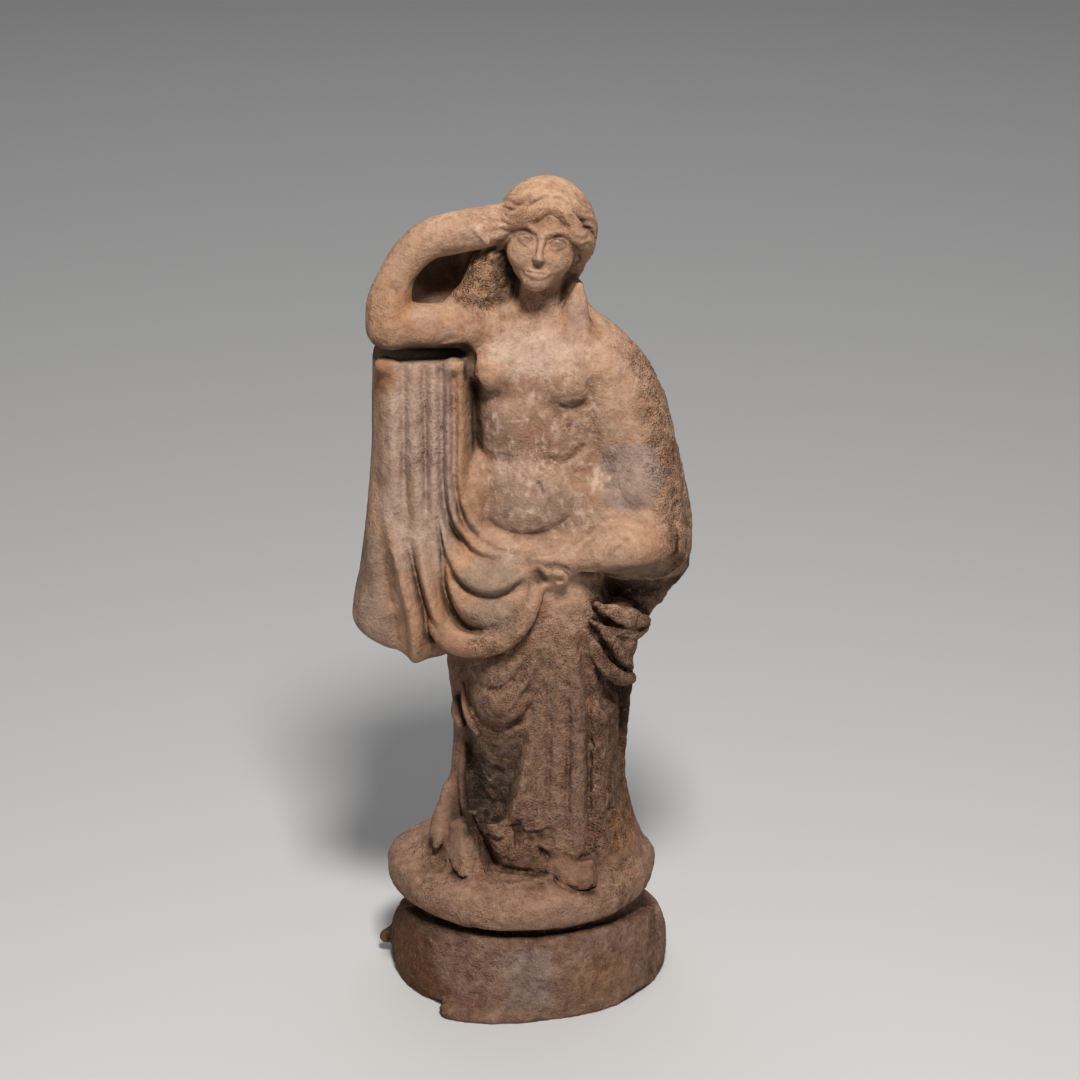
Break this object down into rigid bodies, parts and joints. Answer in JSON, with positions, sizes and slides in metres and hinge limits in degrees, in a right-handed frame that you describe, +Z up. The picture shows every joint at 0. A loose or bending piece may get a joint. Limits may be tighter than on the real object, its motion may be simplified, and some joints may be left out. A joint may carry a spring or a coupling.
{
  "type": "terracotta figurine",
  "caption": "Standing half-draped female figurine in fired clay, leaning on a draped pillar with one hand raised to the hair, on a low round moulded base.",
  "frame": {"origin": "centre of the round base's underside", "axes": "+Z up through the figure, -Y towards the viewer in front of it, +X to the viewer's right"},
  "size_m": [0.0848, 0.0726, 0.2107],
  "materials": {
    "fired_clay": "matt, grainy fired clay, buff orange with grey-lilac crust and dirt in the folds"
  },
  "bodies": {
    "root": {"figurine": "fired_clay"}
  },
  "joints": []
}
